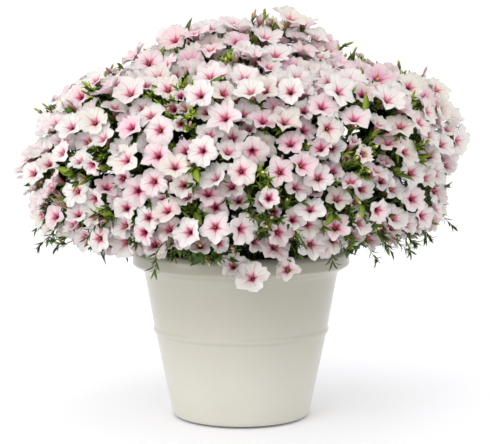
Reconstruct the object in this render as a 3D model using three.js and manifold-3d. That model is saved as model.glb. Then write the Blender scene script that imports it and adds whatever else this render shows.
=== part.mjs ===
// A potted petunia: a wide mound of white, pink-veined blooms on leafy sprays, standing in the soil of a
// round off-white pot with a thick lip and a raised ring. Millimetres, +Z up, the origin in the middle of
// the pot's base. The front of the mound looks along -Y.

import * as THREE from "three";
import { mergeVertices } from "three/addons/utils/BufferGeometryUtils.js";
import Module from "manifold-3d";

const wasm = await Module();
wasm.setup();

// Pot
const lipRadius = 200;
const potHeight = 312;
const baseRadius = 125;
const footRound = 3;
const ringHeight = 162;
const ringRadius = 162.7;
const stepUnderRing = 3.3;
const stepOverRing = 2.5;
const neckRadius = 178;
const neckHeight = 268;
const lipDepth = 32;
const lipWidth = 18;
const wall = 8;
const floorThickness = 10;
const potSides = 36;
const drainRadius = 6;
const drainCircle = 70;
const drainCount = 4;

// Soil
const soilLevel = 290;
const soilCrown = 8;
const soilSides = 24;
const clearance = 0.3;

// Mound: how far the faces of the blooms reach from its centre, by elevation in degrees, on the left and
// on the right
const moundCentre = new THREE.Vector3(0, 0, 430);
const reachTable = [
  [-26, 244, 244],
  [-18, 302, 290],
  [-12, 366, 352],
  [-6, 380, 376],
  [-1, 378, 358],
  [4, 400, 374],
  [12, 376, 402],
  [20, 370, 402],
  [26, 366, 394],
  [31, 352, 364],
  [36, 312, 340],
  [44, 306, 306],
  [54, 286, 292],
  [61, 286, 304],
  [67, 302, 312],
  [73, 282, 296],
  [80, 282, 288],
  [90, 276, 276],
];
const depthShare = 0.84;
const lowestElevation = -19.5;
const lowestSway = 3.5;
const reliefShare = 0.03;

// Sprays, their organs and how they are spread over the mound
const sprayCount = 32;
const lowestSpray = -8;
const frontCrowding = 0.28;
const latticeRings = 2;
const leafPlaces = [2, 9, 17];
const budPlaces = [13];
const bloomRadius = 23.5;
const leafRoom = 14;
const budRoom = 5;
const evenRoom = 0.95;
const evenSteps = 80;
const layerRoom = 0.96;
const layerDepth = 17;
const layerSteps = 60;
const tubeRoom = 6;
const proudest = 7;
const deepest = -22;
const trailingPlaces = [
  new THREE.Vector3(-15, -238, 303),
  new THREE.Vector3(18, -243, 284),
  new THREE.Vector3(80, -234, 296),
];
const facingCentre = new THREE.Vector3(0, 170, 335);
const facingDraw = 0.36;
const untanglingPasses = 8;
const settlingRounds = 60;
const givingUp = 0.6;
const yielding = ["leaf", "bloom", "bud", "core"];

// One bloom, one leaf and one bud
const lobeCount = 5;
const lobeLift = 5;
const throatDepth = 12;
const tubeRadius = 3.2;
const tubeDepth = 17;
const leafLength = 38;
const leafWidth = 17;
const budLength = 30;
const budRadius = 3.6;

// The inside of a spray
const coreDepth = 60;
const coreShare = 0.54;
const rootInset = 0.2;
const forkDepth = 46;
const stemRadius = 4;
const stemSteps = 4;
const stemRise = 7;
const stemFoot = 28;
const crownRadius = 105;
const partingRounds = 6;
const stemSwing = (3 * Math.PI) / 180;

const degrees = Math.PI / 180;
const goldenAngle = Math.PI * (3 - Math.sqrt(5));

// A repeatable draw from 0 to 1 for the i-th thing of a kind.
function draw(kind, i) {
  const wave = Math.sin(kind * 12.9898 + i * 78.233) * 43758.5453;
  return wave - Math.floor(wave);
}

// How far the mound reaches at an elevation and azimuth.
function reachAt(elevation, azimuth) {
  const angle = Math.min(Math.max(elevation / degrees, reachTable[0][0]), 90);
  const next = Math.max(1, reachTable.findIndex((row) => row[0] >= angle));
  const [low, high] = [reachTable[next - 1], reachTable[next]];
  const share = (angle - low[0]) / (high[0] - low[0]);
  const rightness = 0.5 + 0.5 * Math.cos(azimuth);
  const left = low[1] + share * (high[1] - low[1]);
  const right = low[2] + share * (high[2] - low[2]);
  const wave = Math.sin(5 * azimuth + 7 * elevation) * Math.sin(9 * elevation - 2 * azimuth);
  const relief = 1 + reliefShare * wave * Math.sin(azimuth) ** 2;
  return relief * (left + rightness * (right - left));
}

// How low the mound goes at an azimuth: it hangs lower at its sides than in front and behind.
function lowestAt(azimuth) {
  return (lowestElevation - lowestSway * Math.cos(2 * azimuth)) * degrees;
}

function moundPoint(elevation, azimuth) {
  const reach = reachAt(elevation, azimuth);
  return new THREE.Vector3(
    reach * Math.cos(elevation) * Math.cos(azimuth),
    reach * Math.cos(elevation) * Math.sin(azimuth) * depthShare,
    reach * Math.sin(elevation),
  ).add(moundCentre);
}

// The elevation and azimuth of a point seen from the mound's centre.
function anglesOf(point) {
  const { x, y, z } = point.clone().sub(moundCentre);
  return [Math.atan2(z, Math.hypot(x, y / depthShare)), Math.atan2(y / depthShare, x)];
}

function onMound(point) {
  const [elevation, azimuth] = anglesOf(point);
  return moundPoint(Math.max(elevation, lowestAt(azimuth)), azimuth);
}

// Two unit vectors square to an axis, the first level where the axis isn't upright.
function sidesOf(axis) {
  const first = new THREE.Vector3(-axis.y, axis.x, 0);
  if (first.length() < 1e-3) first.set(1, 0, 0);
  first.normalize();
  return [first, axis.clone().cross(first)];
}

// The area of the mound above each elevation, from the top down to a lowest elevation in degrees.
function areaAbove(lowest) {
  const step = 0.5;
  const sums = [[90 * degrees, 0]];
  for (let angle = 90 - step; angle >= lowest; angle -= step) {
    const elevation = angle * degrees;
    const reach = reachAt(elevation, Math.PI / 2);
    const band = 2 * Math.PI * depthShare * reach * reach * Math.cos(elevation) * step * degrees;
    sums.push([elevation, sums[sums.length - 1][1] + band]);
  }
  return sums;
}

// The middle of each spray on the mound, in a golden spiral that is closer in front.
function sprayMiddles() {
  const sums = areaAbove(lowestSpray);
  const whole = sums[sums.length - 1][1];
  const patchArea = areaAbove(lowestElevation).pop()[1] / sprayCount;
  const edge = Math.sqrt(patchArea / (6 * latticeRings ** 2 * (Math.sqrt(3) / 4)));
  const middles = [];
  for (let i = 0; i < sprayCount; i++) {
    const wanted = (whole * (i + 0.5)) / sprayCount;
    const [elevation] = sums.find((row) => row[1] >= wanted);
    const turn = i * goldenAngle + 0.6;
    const fromFront = turn - frontCrowding * Math.sin(turn);
    const point = moundPoint(elevation, fromFront - Math.PI / 2);
    const spacing = Math.sqrt(1 - frontCrowding * Math.cos(turn));
    const axis = point.clone().sub(moundCentre).normalize();
    const [level, upper] = sidesOf(axis);
    const twist = draw(1, i) * Math.PI;
    const first = level.multiplyScalar(Math.cos(twist)).addScaledVector(upper, Math.sin(twist));
    const second = axis.clone().cross(first);
    middles.push({ point, axis, first, second, spacing, edge: edge * spacing, swing: 0 });
  }
  return middles;
}

// A hexagonal patch of triangles: its corners in rings about the middle, and the triangles with corners in
// order.
function hexagonPatch(rings) {
  const corners = [[0, 0]];
  const index = (ring, k) => (ring === 0 ? 0 : 1 + 3 * ring * (ring - 1) + (k % (6 * ring)));
  for (let ring = 1; ring <= rings; ring++)
    for (let k = 0; k < 6 * ring; k++) {
      const side = Math.floor(k / ring);
      const along = (k % ring) / ring;
      const [a, b] = [side * 60 * degrees, (side + 1) * 60 * degrees];
      corners.push([
        ring * (Math.cos(a) * (1 - along) + Math.cos(b) * along),
        ring * (Math.sin(a) * (1 - along) + Math.sin(b) * along),
      ]);
    }
  const triangles = [];
  for (let ring = 1; ring <= rings; ring++)
    for (let side = 0; side < 6; side++)
      for (let j = 0; j < ring; j++) {
        const inner = index(ring - 1, side * (ring - 1) + j);
        const outer = index(ring, side * ring + j);
        const nextOuter = index(ring, side * ring + j + 1);
        triangles.push([inner, outer, nextOuter]);
        if (j < ring - 1) triangles.push([inner, nextOuter, index(ring - 1, side * (ring - 1) + j + 1)]);
      }
  const rim = Array.from({ length: 6 * rings }, (_, k) => index(rings, k));
  return { corners, triangles, rim };
}

// Every bloom, leaf and bud of every spray, over the facet of the spray's core that it grows from.
function startingOrgans(middles, patch) {
  const organs = [];
  middles.forEach((middle, spray) =>
    patch.triangles.forEach((corners, place) => {
      const id = spray * patch.triangles.length + place;
      const flat = [0, 1].map((k) => corners.reduce((sum, c) => sum + patch.corners[c][k], 0) / 3);
      const kind = leafPlaces.includes(place) ? "leaf" : budPlaces.includes(place) ? "bud" : "bloom";
      const size = { leaf: leafRoom, bud: budRoom, bloom: bloomRadius * (0.87 + 0.26 * draw(2, id)) }[kind];
      const start = middle.point
        .clone()
        .addScaledVector(middle.first, (flat[0] + 0.3 * (draw(3, id) - 0.5)) * middle.edge)
        .addScaledVector(middle.second, (flat[1] + 0.3 * (draw(4, id) - 0.5)) * middle.edge);
      organs.push({ id, spray, place, kind, size, spacing: middle.spacing, at: onMound(start) });
    }),
  );
  return organs;
}

// The blooms nearest to the trailing places hang there, over the front of the lip.
function trail(organs) {
  trailingPlaces.forEach((place) => {
    const free = organs.filter((organ) => organ.kind === "bloom" && !organ.trailing);
    const nearest = free.sort((a, b) => a.at.distanceTo(place) - b.at.distanceTo(place))[0];
    nearest.trailing = true;
    nearest.at.copy(place);
  });
}

// Every organ moves clear of its neighbours along the mound, until all of it is covered.
function spreadEvenly(organs) {
  for (let step = 0; step < evenSteps; step++) {
    const moves = organs.map(() => new THREE.Vector3());
    forPairs(organs, 2.6 * bloomRadius, (a, b, apart) => {
      const room = evenRoom * (a.size + b.size + 14) * 0.5 * (a.spacing + b.spacing);
      const nearness = 1 - apart.length() / room;
      if (nearness <= 0) return;
      const push = apart.setLength(0.3 * nearness * room);
      moves[a.index].sub(push);
      moves[b.index].add(push);
    });
    organs.forEach((organ) => {
      if (!organ.trailing) organ.at.copy(onMound(organ.at.add(moves[organ.index])));
    });
  }
}

// Calls a function for each pair of organs that is nearer than a distance.
function forPairs(organs, distance, visit) {
  organs.forEach((organ, i) => (organ.index = i));
  for (let i = 0; i < organs.length; i++)
    for (let j = i + 1; j < organs.length; j++) {
      const [a, b] = [organs[i], organs[j]];
      if (Math.abs(a.at.x - b.at.x) > distance || Math.abs(a.at.z - b.at.z) > distance) continue;
      const apart = b.at.clone().sub(a.at);
      if (apart.length() < distance) visit(a, b, apart);
    }
}

// Blooms slip over and under each other: a pair that is too close, as two flat discs, also parts in depth,
// and the deeper one stays beside the other one's tube.
function layerOut(organs) {
  organs.forEach((organ) => {
    organ.home = organ.at.clone();
    if (organ.trailing) return;
    organ.at.addScaledVector(organ.at.clone().sub(moundCentre).normalize(), 12 * (draw(5, organ.id) - 0.8));
  });
  for (let step = 0; step < layerSteps; step++) {
    const moves = organs.map(() => new THREE.Vector3());
    forPairs(organs, 2.6 * bloomRadius, (a, b, apart) => {
      const out = a.at.clone().add(b.at).multiplyScalar(0.5).sub(moundCentre).normalize();
      const room = layerRoom * (a.size + b.size);
      const depth = apart.dot(out);
      const along = apart.addScaledVector(out, -depth);
      const distance = Math.max(along.length(), 1e-6);
      const nearness = Math.max(0, 1 - Math.hypot(distance / room, depth / layerDepth));
      const stemRoom = (depth < 0 ? b.size : a.size) + tubeRoom;
      const tubeNearness = Math.max(0, 1 - distance / stemRoom);
      if (!nearness && !tubeNearness) return;
      const push = along.multiplyScalar((0.2 * nearness * room + 0.3 * tubeNearness * stemRoom) / distance);
      push.addScaledVector(out, 0.3 * nearness * layerDepth * (depth < 0 ? -1 : 1));
      moves[a.index].sub(push);
      moves[b.index].add(push);
    });
    organs.forEach((organ) => {
      if (organ.trailing) return;
      organ.at.add(moves[organ.index]).lerp(organ.home, 0.03);
      const seat = onMound(organ.at);
      const out = seat.clone().sub(moundCentre).normalize();
      const proud = organ.at.clone().sub(seat).dot(out);
      organ.at.copy(seat).addScaledVector(out, Math.min(Math.max(proud, deepest), proudest));
    });
  }
}

function middleOf(points) {
  return points.reduce((sum, point) => sum.add(point), new THREE.Vector3()).divideScalar(points.length);
}

// Each core moves under the middle of its organs, and organs trade facets until their stalks fan out side by
// side.
function untangle(sprays, patch, organs) {
  sprays.forEach((spray, i) => {
    const own = organs.filter((organ) => organ.spray === i);
    spray.point = onMound(middleOf(own.map((organ) => organ.at)));
    spray.axis = spray.point.clone().sub(moundCentre).normalize();
    spray.first.addScaledVector(spray.axis, -spray.first.dot(spray.axis)).normalize();
    spray.second = spray.axis.clone().cross(spray.first);
    const corners = coreCorners(spray, patch);
    const feet = patch.triangles.map((triangle) => middleOf(triangle.map((k) => corners[k])));
    const stretch = (organ, place) => organ.at.distanceToSquared(feet[place]);
    for (let pass = 0; pass < untanglingPasses; pass++)
      own.forEach((a) =>
        own.forEach((b) => {
          const now = stretch(a, a.place) + stretch(b, b.place);
          if (stretch(a, b.place) + stretch(b, a.place) < now) [a.place, b.place] = [b.place, a.place];
        }),
      );
  });
}

// Which way an organ faces, and the two directions across its face.
function faceOrgan(organ) {
  const out = organ.at.clone().sub(facingCentre).normalize();
  const [first, second] = sidesOf(out);
  out.addScaledVector(first, facingDraw * 2 * (draw(6, organ.id) - 0.5));
  out.addScaledVector(second, facingDraw * 2 * (draw(7, organ.id) - 0.5)).normalize();
  const [across, up] = sidesOf(out);
  const turn = draw(8, organ.id) * 2 * Math.PI;
  organ.out = out;
  organ.across = across.clone().multiplyScalar(Math.cos(turn)).addScaledVector(up, Math.sin(turn));
  organ.up = out.clone().cross(organ.across);
}

function turnOrgan(organ, angle) {
  const across = organ.across.clone();
  organ.across.multiplyScalar(Math.cos(angle)).addScaledVector(organ.up, Math.sin(angle));
  organ.up.multiplyScalar(Math.cos(angle)).addScaledVector(across, -Math.sin(angle));
}

// A mesh that is closed by joining loops of points, each loop turning the same way seen from the tip.
class Shell {
  positions = [];
  faces = [];

  add(point) {
    this.positions.push(point.x, point.y, point.z);
    return this.positions.length / 3 - 1;
  }

  loop(points) {
    return points.map((point) => this.add(point));
  }

  // Joins a lower loop to an upper one, whose points may be more or fewer, from their first points on.
  join(lower, upper) {
    let [i, j] = [0, 0];
    while (i < lower.length || j < upper.length) {
      const lowerNext = (i + 0.5) / lower.length;
      const upperNext = (j + 0.5) / upper.length;
      const [a, b] = [lower[i % lower.length], upper[j % upper.length]];
      if (lowerNext <= upperNext) this.faces.push(a, lower[(i++ + 1) % lower.length], b);
      else this.faces.push(a, upper[(j++ + 1) % upper.length], b);
    }
  }

  close(loop, tip) {
    loop.forEach((point, k) => this.faces.push(point, loop[(k + 1) % loop.length], tip));
  }

  point(index) {
    return new THREE.Vector3().fromArray(this.positions, 3 * index);
  }

  solid() {
    return new wasm.Manifold(
      new wasm.Mesh({
        numProp: 3,
        vertProperties: new Float32Array(this.positions),
        triVerts: new Uint32Array(this.faces),
      }),
    );
  }
}

// A loop of points round a middle, from a start angle.
function ringPoints(middle, first, second, radius, count, start = 0) {
  return Array.from({ length: count }, (_, k) => {
    const angle = start + (k * 2 * Math.PI) / count;
    return middle
      .clone()
      .addScaledVector(first, radius * Math.cos(angle))
      .addScaledVector(second, radius * Math.sin(angle));
  });
}

// The angle across the organ's face at which the first corner of its root lies.
function rootAngle(shell, root, organ) {
  const middle = middleOf(root.map((k) => shell.point(k)));
  const corner = shell.point(root[0]).sub(middle);
  return Math.atan2(corner.dot(organ.up), corner.dot(organ.across));
}

// How far out a lobe of a bloom reaches, as a share of the bloom's radius.
function lobeSpread(organ, lobe) {
  return 1.1 + 0.12 * (draw(20 + lobe, organ.id) - 0.5);
}

// The bloom: a narrow tube that flares to a limb of five lobes, hollowed towards its throat.
function growBloom(shell, root, organ) {
  const { at, out, across, up, size } = organ;
  const start = rootAngle(shell, root, organ);
  const neck = shell.loop(
    ringPoints(at.clone().addScaledVector(out, -tubeDepth), across, up, tubeRadius, 3, start),
  );
  shell.join(root, neck);
  const step = (2 * Math.PI) / lobeCount;
  const limb = shell.loop(
    Array.from({ length: lobeCount }, (_, k) => {
      const angle = start + k * step;
      return at
        .clone()
        .addScaledVector(across, size * lobeSpread(organ, k) * Math.cos(angle))
        .addScaledVector(up, size * lobeSpread(organ, k) * Math.sin(angle))
        .addScaledVector(out, lobeLift * (draw(30 + k, organ.id) - 0.7));
    }),
  );
  shell.join(neck, limb);
  shell.close(limb, shell.add(at.clone().addScaledVector(out, -throatDepth)));
}

// The leaf: a keeled blade on a short stalk, leaning outwards to its tip.
function growLeaf(shell, root, organ) {
  const { at, out, across, up } = organ;
  const lean = across.clone().multiplyScalar(0.8).addScaledVector(out, 0.6).normalize();
  const face = lean.clone().cross(up);
  if (face.dot(out) < 0) face.negate();
  const foot = at.clone().addScaledVector(out, -16).addScaledVector(across, -10);
  const start = rootAngle(shell, root, organ);
  const stalk = shell.loop(ringPoints(foot, across, up, 1.8, 3, start));
  shell.join(root, stalk);
  const widest = foot.clone().addScaledVector(lean, leafLength * 0.45);
  const section = [
    widest.clone().addScaledVector(up, leafWidth / 2).addScaledVector(face, 1.5),
    widest.clone().addScaledVector(face, -1.2),
    widest.clone().addScaledVector(up, -leafWidth / 2).addScaledVector(face, 1.5),
  ];
  const turned = face.clone().cross(up).dot(lean) > 0 ? section : section.reverse();
  const nearest = [0, 1, 2].sort(
    (a, b) => shell.point(stalk[0]).distanceTo(turned[a]) - shell.point(stalk[0]).distanceTo(turned[b]),
  )[0];
  const blade = shell.loop([0, 1, 2].map((k) => turned[(k + nearest) % 3]));
  shell.join(stalk, blade);
  shell.close(blade, shell.add(foot.clone().addScaledVector(lean, leafLength)));
}

// The bud: a slim spindle that stands out between the blooms.
function growBud(shell, root, organ) {
  const { at, out, across, up } = organ;
  const start = rootAngle(shell, root, organ);
  const belly = shell.loop(
    ringPoints(at.clone().addScaledVector(out, budLength * 0.25), across, up, budRadius, 3, start),
  );
  shell.join(root, belly);
  shell.close(belly, shell.add(at.clone().addScaledVector(out, budLength * 0.7)));
}

const grow = { bloom: growBloom, leaf: growLeaf, bud: growBud };

// The core under a spray's organs: the corners of the patch, drawn in and set below the blooms.
function coreCorners(spray, patch) {
  return patch.corners.map(([x, y]) => {
    const [u, v] = [x * spray.edge * coreShare, y * spray.edge * coreShare];
    const sink = coreDepth + (u * u + v * v) / (2 * 330);
    return spray.point
      .clone()
      .addScaledVector(spray.first, u)
      .addScaledVector(spray.second, v)
      .addScaledVector(spray.axis, -sink);
  });
}

// An organ by itself, closed at its root and sunk a little into the core.
function loneOrgan(organ, corners, inset) {
  const shell = new Shell();
  const middle = middleOf(corners);
  const inward = middle.clone().sub(organ.at).normalize();
  const sunk = corners.map((c) => c.clone().lerp(middle, inset).addScaledVector(inward, 2));
  const root = shell.loop(sunk);
  grow[organ.kind](shell, root, organ);
  shell.faces.push(root[0], root[2], root[1]);
  return shell.solid();
}

// The stem's line from the fork of the spray down to its foot in the soil.
function stemLine(spray) {
  const fork = spray.point.clone().addScaledVector(spray.axis, -(coreDepth + forkDepth));
  const level = Math.hypot(fork.x, fork.y);
  const lean = Math.min(1, level / 300);
  const azimuth = Math.atan2(fork.y, fork.x) + spray.swing;
  const footRadius = crownRadius * lean;
  const foot = new THREE.Vector3(
    Math.cos(azimuth) * footRadius,
    Math.sin(azimuth) * footRadius,
    soilLevel + stemRise,
  );
  const bend = foot.clone().lerp(fork, 0.45);
  bend.z = foot.z + Math.max(0.55 * (fork.z - foot.z), 105);
  return { fork, foot, curve: new THREE.QuadraticBezierCurve3(fork, bend, foot) };
}

// A spray as one closed shell: its organs grow out of the facets of the core, and the core narrows to the
// stem.
function growSpray(spray, patch, organs) {
  const shell = new Shell();
  const core = shell.loop(coreCorners(spray, patch));
  patch.triangles.forEach((corners, place) => {
    const root = corners.map((k) => core[k]);
    const organ = organs.find((one) => one.place === place && one.kind);
    if (organ) grow[organ.kind](shell, root, organ);
    else shell.faces.push(...root);
  });
  const { curve } = stemLine(spray);
  let upper = patch.rim.map((k) => core[k]);
  let side = spray.first.clone();
  for (let step = 0; step <= stemSteps; step++) {
    const share = step / stemSteps;
    const back = curve.getTangent(share).negate();
    side.addScaledVector(back, -side.dot(back)).normalize();
    const ring = shell.loop(ringPoints(curve.getPoint(share), side, back.clone().cross(side), stemRadius, 3));
    shell.join(ring, upper);
    upper = ring;
  }
  const end = shell.loop(upper.map((k) => shell.point(k).setZ(soilLevel - stemFoot)));
  shell.join(end, upper);
  shell.faces.push(end[0], end[2], end[1]);
  return shell.solid();
}

// Stems that would cross start a little further round the crown.
function partStems(sprays, patch) {
  for (let round = 0; round < partingRounds; round++) {
    const solids = sprays.map((spray) => growSpray(spray, patch, []));
    sprays.forEach((a, i) =>
      sprays.slice(i + 1).forEach((b, k) => {
        if (solids[i].intersect(solids[i + 1 + k]).volume() === 0) return;
        a.swing -= stemSwing;
        b.swing += stemSwing;
      }),
    );
  }
}

// Organs that would cross move apart and shrink a little until they are clear of each other and of the
// cores. Where there is no room for a bloom or a leaf, there is a bud, or nothing.
function settleOrgans(sprays, patch, organs) {
  const cornersOf = sprays.map((spray) => coreCorners(spray, patch));
  const solidOf = (organ, inset) =>
    loneOrgan(organ, patch.triangles[organ.place].map((k) => cornersOf[organ.spray][k]), inset);
  const cores = sprays.map((spray, i) => {
    return { kind: "core", spray: i, at: cornersOf[i][0], size: 2 * spray.edge };
  });
  const solids = new Map(organs.map((organ) => [organ, solidOf(organ, 0)]));
  const slimmer = new Map(organs.map((organ) => [organ, solidOf(organ, rootInset)]));
  cores.forEach((core) => solids.set(core, growSpray(sprays[core.spray], patch, [])));
  const near = [];
  organs.forEach((a, i) =>
    [...organs.slice(i + 1), ...cores].forEach((b) => {
      const own = b.kind === "core" && a.spray === b.spray;
      if (!own && a.at.distanceTo(b.at) < a.size + b.size + coreDepth) near.push([a, b]);
    }),
  );
  const crossing = ([a, b]) => {
    const kept = a.spray === b.spray ? slimmer : solids;
    return a.kind && b.kind && kept.get(a).intersect(kept.get(b)).volume() > 0;
  };
  const proud = ({ at, trailing }) =>
    trailing ? Infinity : at.distanceTo(moundCentre) - onMound(at).distanceTo(moundCentre);
  let moved = new Set(organs);
  for (let round = 0; round < settlingRounds; round++) {
    const crowded = new Map();
    const suspects = near.filter(([a, b]) => moved.has(a) || moved.has(b));
    suspects.filter(crossing).forEach(([a, b]) => {
      const ranks = [a, b].map((organ) => yielding.indexOf(organ.kind));
      const yields = a.kind === b.kind ? proud(a) < proud(b) : ranks[0] < ranks[1];
      crowded.set(yields ? a : b, yields ? b : a);
    });
    crowded.forEach((other, organ) => {
      const away = organ.at.clone().sub(other.at).normalize().addScaledVector(organ.out, -0.4);
      organ.at.addScaledVector(away, 1.5);
      if (organ.kind === "bloom") organ.size *= 0.975;
      else turnOrgan(organ, 50 * degrees);
      if (round > givingUp * settlingRounds) organ.kind = organ.kind === "bud" ? null : "bud";
      if (!organ.kind) return;
      solids.set(organ, solidOf(organ, 0));
      slimmer.set(organ, solidOf(organ, rootInset));
    });
    moved = new Set(crowded.keys());
  }
}

// A lathe about Z from a closed profile of [radius, height] that starts and ends on the axis.
function turned(profile, sides) {
  const points = profile.map(([radius, height]) => new THREE.Vector2(radius, height));
  return new THREE.LatheGeometry(points, sides).rotateX(Math.PI / 2);
}

function solidFrom(geometry) {
  const bare = geometry.clone();
  bare.deleteAttribute("normal");
  bare.deleteAttribute("uv");
  const merged = mergeVertices(bare, 1e-3);
  const triVerts = new Uint32Array(merged.index.array);
  return new wasm.Manifold(
    new wasm.Mesh({ numProp: 3, vertProperties: merged.attributes.position.array, triVerts }),
  );
}

function geometryFrom(solid) {
  const mesh = solid.getMesh();
  const geometry = new THREE.BufferGeometry();
  geometry.setAttribute("position", new THREE.BufferAttribute(new Float32Array(mesh.vertProperties), 3));
  geometry.setIndex(new THREE.BufferAttribute(new Uint32Array(mesh.triVerts), 1));
  geometry.computeVertexNormals();
  return geometry;
}

// The outer radius of the pot's plain wall at a height, below and above the ring.
function wallRadius(height) {
  const foot = baseRadius + footRound;
  const under = ringRadius - stepUnderRing;
  const over = ringRadius - stepOverRing;
  if (height < ringHeight) return foot + ((under - foot) * height) / ringHeight;
  return over + ((neckRadius - over) * (height - ringHeight)) / (neckHeight - ringHeight);
}

function makePot() {
  const lipFoot = potHeight - lipDepth;
  const profile = [
    [0, 0],
    [baseRadius, 0],
    [baseRadius + footRound, 4],
    [wallRadius(ringHeight - 7), ringHeight - 7],
    [ringRadius, ringHeight - 1],
    [ringRadius, ringHeight + 3],
    [wallRadius(ringHeight + 9), ringHeight + 9],
    [wallRadius(lipFoot - 20), lipFoot - 20],
    [neckRadius + 3, lipFoot - 5],
    [lipRadius - 4, lipFoot],
    [lipRadius, lipFoot + 5],
    [lipRadius - 1, potHeight - 7],
    [lipRadius - 7, potHeight],
    [lipRadius - lipWidth + 2, potHeight],
    [lipRadius - lipWidth - 2, potHeight - 5],
    [wallRadius(lipFoot - 24) - wall, lipFoot - 24],
    [wallRadius(ringHeight) - wall - 3, ringHeight],
    [baseRadius - 3, floorThickness],
    [0, floorThickness],
  ];
  let pot = solidFrom(turned(profile, potSides));
  for (let k = 0; k < drainCount; k++) {
    const drill = new THREE.CylinderGeometry(drainRadius, drainRadius, 3 * floorThickness, 6);
    drill.rotateX(Math.PI / 2);
    const angle = ((k + 0.5) * 2 * Math.PI) / drainCount;
    drill.translate(drainCircle * Math.cos(angle), drainCircle * Math.sin(angle), floorThickness / 2);
    pot = pot.subtract(solidFrom(drill));
  }
  return pot;
}

// The potting soil: it fills the pot with a slightly raised top, and each stem stands in a hole of its own.
function makeSoil(stems) {
  const inner = (height) => {
    const low = baseRadius - 3;
    const middle = wallRadius(ringHeight) - wall - 3;
    const lipFoot = potHeight - lipDepth;
    const high = wallRadius(lipFoot - 24) - wall;
    const rise = (height - floorThickness) / (ringHeight - floorThickness);
    if (height < ringHeight) return low + (middle - low) * rise;
    return middle + ((high - middle) * (height - ringHeight)) / (lipFoot - 24 - ringHeight);
  };
  const gap = 2.2;
  const profile = [
    [0, floorThickness + clearance],
    [inner(floorThickness) - gap, floorThickness + clearance],
    [inner(ringHeight) - gap, ringHeight],
    [inner(potHeight - lipDepth - 24) - gap, potHeight - lipDepth - 24],
    [inner(potHeight - lipDepth - 24) - gap, soilLevel - soilCrown],
    [crownRadius * 1.15, soilLevel],
    [0, soilLevel],
  ];
  let soil = solidFrom(turned(profile, soilSides));
  stems.forEach((stem) => {
    const hole = new Shell();
    const lower = hole.loop(stem.map((p) => p.clone().setZ(soilLevel - stemFoot - clearance)));
    const upper = hole.loop(stem.map((p) => p.clone().setZ(soilLevel + 10)));
    hole.join(lower, upper);
    hole.faces.push(lower[0], lower[2], lower[1], upper[0], upper[1], upper[2]);
    soil = soil.subtract(hole.solid());
  });
  return soil;
}

// The corners of the hole that a stem stands in, a little wider than the stem.
function holeCorners(spray) {
  const { curve } = stemLine(spray);
  let side = spray.first.clone();
  for (let step = 0; step <= stemSteps; step++) {
    const back = curve.getTangent(step / stemSteps).negate();
    side.addScaledVector(back, -side.dot(back)).normalize();
  }
  const back = curve.getTangent(1).negate();
  const ring = ringPoints(curve.getPoint(1), side, back.clone().cross(side), stemRadius, 3);
  const middle = curve.getPoint(1);
  return ring.map((p) => middle.clone().add(p.sub(middle).setZ(0).multiplyScalar(1.25)));
}

const materials = {
  pot: new THREE.MeshStandardMaterial({ color: 0xd9d6ca, roughness: 0.25 }),
  soil: new THREE.MeshStandardMaterial({ color: 0x2b2018, roughness: 0.95 }),
  spray: new THREE.MeshStandardMaterial({ color: 0xf2e3e6, roughness: 0.6 }),
};

const patch = hexagonPatch(latticeRings);
const sprays = sprayMiddles();
const organs = startingOrgans(sprays, patch);
trail(organs);
spreadEvenly(organs);
layerOut(organs);
untangle(sprays, patch, organs);
organs.forEach(faceOrgan);
partStems(sprays, patch);
settleOrgans(sprays, patch, organs);

const plant = new THREE.Group();
function place(name, solid, material) {
  const mesh = new THREE.Mesh(geometryFrom(solid), material);
  mesh.name = name;
  plant.add(mesh);
}

place("pot", makePot(), materials.pot);
place("soil", makeSoil(sprays.map(holeCorners)), materials.soil);
sprays.forEach((spray, i) => {
  const solid = growSpray(spray, patch, organs.filter((organ) => organ.spray === i));
  place(`flowering_spray_${String(i + 1).padStart(2, "0")}`, solid, materials.spray);
});

export default plant;
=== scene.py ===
"""A potted petunia in full bloom. Every fine bloom, leaf and bud is set on the plain one of the CAD sprays:
its throat, margin, neck and root are read from the spray's own mesh. Metres, +Z up, the front of the mound
towards -Y."""

import math

import bmesh
import bpy
import numpy as np
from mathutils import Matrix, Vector
from mathutils.kdtree import KDTree


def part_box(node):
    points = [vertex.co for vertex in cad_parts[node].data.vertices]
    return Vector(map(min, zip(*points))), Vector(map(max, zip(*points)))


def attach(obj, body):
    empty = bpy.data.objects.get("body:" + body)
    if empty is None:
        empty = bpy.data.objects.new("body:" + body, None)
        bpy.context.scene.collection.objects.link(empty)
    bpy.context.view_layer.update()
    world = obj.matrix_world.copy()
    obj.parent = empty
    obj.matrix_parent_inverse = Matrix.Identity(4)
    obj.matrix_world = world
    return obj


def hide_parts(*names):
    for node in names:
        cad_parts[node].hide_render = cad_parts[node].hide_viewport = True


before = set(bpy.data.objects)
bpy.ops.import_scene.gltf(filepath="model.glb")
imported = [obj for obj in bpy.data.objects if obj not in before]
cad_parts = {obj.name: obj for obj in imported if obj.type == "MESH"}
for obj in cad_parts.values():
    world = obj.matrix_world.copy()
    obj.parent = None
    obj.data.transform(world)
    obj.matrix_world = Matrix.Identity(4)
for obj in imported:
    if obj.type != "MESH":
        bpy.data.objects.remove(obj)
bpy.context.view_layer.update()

MM = 0.001
TURN = 2 * math.pi
ANY_ANGLE = 6.28
GOLDEN_ANGLE = 2.4
UP = Vector((0, 0, 1))

# Camera and picture
PICTURE_WIDTH = 490
AXIS_COLUMN = 241.1
FOCAL_PIXELS = 1361
SENSOR = 36
CAMERA_DISTANCE = 2.5
CAMERA_HEIGHT = 0.594
CAMERA_PITCH = math.radians(5.38)

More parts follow.
